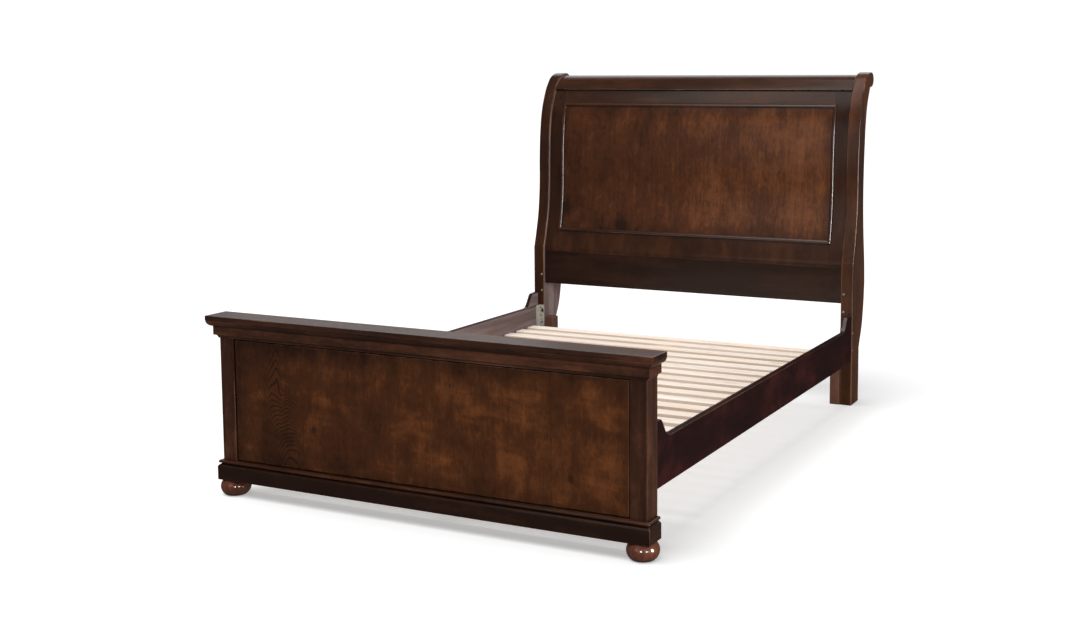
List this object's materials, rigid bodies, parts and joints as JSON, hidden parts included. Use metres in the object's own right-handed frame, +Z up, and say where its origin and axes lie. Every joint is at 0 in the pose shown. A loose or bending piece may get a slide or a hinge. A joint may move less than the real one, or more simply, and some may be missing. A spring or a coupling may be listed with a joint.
{
  "type": "sleigh bed",
  "caption": "Queen size sleigh bed with a scrolled headboard, a panelled footboard under a moulded cap on bun feet, hooked side rails with scrolled ears, and pale slats on cleats.",
  "frame": {"origin": "middle of the bed's outline on the floor", "axes": "+Z up, +Y from the footboard to the headboard, +X to the right as seen from the foot of the bed"},
  "size_m": [1.683, 2.475, 1.466],
  "materials": {
    "dark_stain": "dark cherry stain under satin lacquer",
    "panel_veneer": "blotchy warm brown stained veneer under satin lacquer",
    "turned_stain": "turned wood, dark stain under gloss lacquer",
    "inner_wood": "stained hardwood strip, unpolished",
    "pale_pine": "bare sanded pine",
    "zinc_steel": "zinc plated pressed steel"
  },
  "bodies": {
    "root": {"foot_cap": "dark_stain", "foot_crown": "dark_stain", "foot_frieze": "dark_stain", "foot_post_left": "dark_stain", "foot_post_right": "dark_stain", "foot_top_rail": "dark_stain", "foot_bottom_rail": "dark_stain", "foot_base_bead": "dark_stain", "foot_plinth": "dark_stain", "head_post_left": "dark_stain", "head_post_right": "dark_stain", "head_leg_block_left": "dark_stain", "head_leg_block_right": "dark_stain", "head_lower_board": "dark_stain", "head_stile_left": "dark_stain", "head_stile_right": "dark_stain", "head_bottom_rail": "dark_stain", "head_top_rail": "dark_stain", "head_bead_left": "dark_stain", "head_bead_right": "dark_stain", "head_bead_bottom": "dark_stain", "head_bead_top": "dark_stain", "head_crest": "dark_stain", "side_rail_left": "dark_stain", "side_rail_right": "dark_stain", "foot_front_panel": "panel_veneer", "foot_back_panel": "panel_veneer", "head_panel": "panel_veneer", "bun_foot_left": "turned_stain", "bun_foot_right": "turned_stain", "slat_cleat_left": "inner_wood", "slat_cleat_right": "inner_wood", "slat_01": "pale_pine", "slat_02": "pale_pine", "slat_03": "pale_pine", "slat_04": "pale_pine", "slat_05": "pale_pine", "slat_06": "pale_pine", "slat_07": "pale_pine", "slat_08": "pale_pine", "slat_09": "pale_pine", "slat_10": "pale_pine", "slat_11": "pale_pine", "slat_12": "pale_pine", "slat_13": "pale_pine", "slat_14": "pale_pine", "slat_15": "pale_pine", "slat_16": "pale_pine", "slat_17": "pale_pine", "slat_18": "pale_pine", "slat_19": "pale_pine", "centre_beam": "pale_pine", "centre_leg_1": "pale_pine", "centre_leg_2": "pale_pine", "centre_leg_3": "pale_pine", "rail_bracket_foot_left": "zinc_steel", "rail_bracket_foot_right": "zinc_steel", "rail_bracket_head_left": "zinc_steel", "rail_bracket_head_right": "zinc_steel"}
  },
  "joints": []
}
